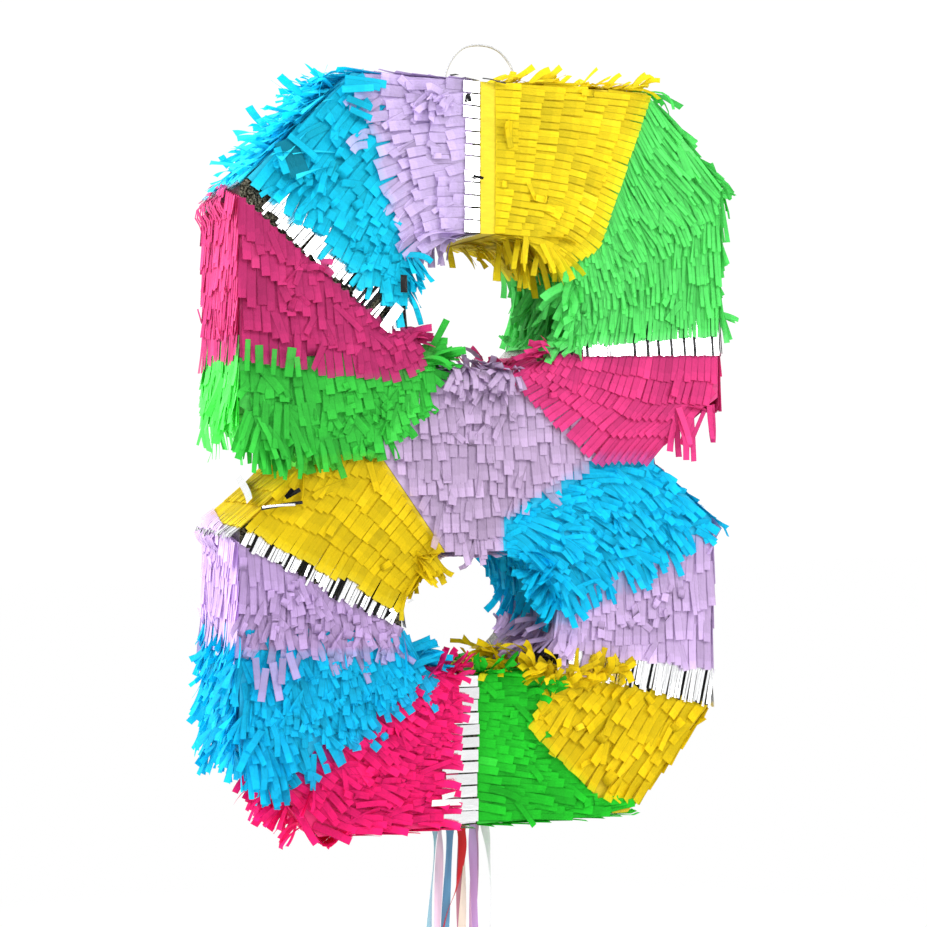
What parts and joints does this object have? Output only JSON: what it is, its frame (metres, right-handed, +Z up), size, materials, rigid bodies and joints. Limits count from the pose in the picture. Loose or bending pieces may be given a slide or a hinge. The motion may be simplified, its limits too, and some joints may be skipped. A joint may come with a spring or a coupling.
{
  "type": "pull-string pinata",
  "caption": "Figure-8 pull-string pinata: cardboard box under tissue and foil fringe, with a cord loop, a ribbon-pulled trapdoor and a fill flap.",
  "frame": {"origin": "top of the hanging loop, where a hook holds it", "axes": "+Z up, front face towards -Y, +X to the right seen from the front"},
  "size_m": [0.292, 0.0885, 0.736],
  "materials": {
    "yellow": "matte",
    "green": "matte",
    "pink": "matte",
    "lilac": "matte",
    "cyan": "matte",
    "foil": "gloss",
    "cardboard": "matte",
    "kraft_tape": "satin",
    "clear_tape": "gloss",
    "cord": "matte",
    "ribbon_blue": "gloss",
    "ribbon_cream": "gloss",
    "ribbon_light_blue": "gloss",
    "ribbon_lilac": "gloss",
    "ribbon_mauve": "gloss",
    "ribbon_pale_pink": "gloss",
    "ribbon_red": "gloss",
    "ribbon_rose": "gloss",
    "ribbon_white": "gloss"
  },
  "bodies": {
    "hanger": {"hang_loop": "cord"},
    "shell": {"back_panel": "cardboard", "bottom_wall": "cardboard", "cyan_lower_left": "cyan", "cyan_right": "cyan", "cyan_upper_left": "cyan", "foil_bottom": "foil", "foil_lower_left": "foil", "foil_lower_right": "foil", "foil_right": "foil", "foil_top": "foil", "foil_upper_left": "foil", "front_panel": "cardboard", "green_bottom": "green", "green_left": "green", "green_right": "green", "lilac_centre": "lilac", "lilac_left": "lilac", "lilac_right": "lilac", "lilac_top": "lilac", "loop_knot_left": "cord", "loop_knot_right": "cord", "loop_plate": "cardboard", "lower_hole_wall": "cardboard", "outer_wall_left": "cardboard", "outer_wall_right": "cardboard", "pink_bottom": "pink", "pink_left": "pink", "pink_right": "pink", "seam_tape_bottom_left": "kraft_tape", "seam_tape_bottom_right": "kraft_tape", "seam_tape_top_left": "kraft_tape", "seam_tape_top_right": "kraft_tape", "tape_patch": "clear_tape", "top_wall": "cardboard", "upper_hole_wall": "cardboard", "yellow_left": "yellow", "yellow_lower_right": "yellow", "yellow_top": "yellow"},
    "trapdoor": {"trapdoor": "cardboard", "trapdoor_tissue_pink": "pink", "trapdoor_foil": "foil", "trapdoor_tissue_green": "green"},
    "pull_ribbons": {"ribbon_bar": "cardboard", "ribbon_blue": "ribbon_blue", "ribbon_cream": "ribbon_cream", "ribbon_light_blue": "ribbon_light_blue", "ribbon_lilac": "ribbon_lilac", "ribbon_mauve": "ribbon_mauve", "ribbon_pale_pink": "ribbon_pale_pink", "ribbon_red": "ribbon_red", "ribbon_rose": "ribbon_rose", "ribbon_white": "ribbon_white"},
    "fill_flap": {"fill_flap": "cardboard", "fill_flap_tissue_lilac": "lilac", "fill_flap_foil": "foil", "fill_flap_tissue_yellow": "yellow"}
  },
  "joints": [
    {"name": "swing", "type": "hinge", "parent": "hanger", "child": "shell", "pos_m": [0, 0, -0.031], "axis": [1, 0, 0], "range_deg": [-25, 25]},
    {"name": "trapdoor_open", "type": "hinge", "parent": "shell", "child": "trapdoor", "pos_m": [-0.01, 0.03, -0.451], "axis": [1, 0, 0], "range_deg": [0, 85]},
    {"name": "ribbons_hang", "type": "hinge", "parent": "trapdoor", "child": "pull_ribbons", "pos_m": [-0.01, 0, -0.4532], "axis": [1, 0, 0], "range_deg": [-85, 0]},
    {"name": "fill_flap_open", "type": "hinge", "parent": "shell", "child": "fill_flap", "pos_m": [-0.01, 0.044, -0.051], "axis": [1, 0, 0], "range_deg": [0, 110]}
  ],
  "couplings": [
    {"joint": "ribbons_hang", "follows": "trapdoor_open", "ratio": -1}
  ]
}
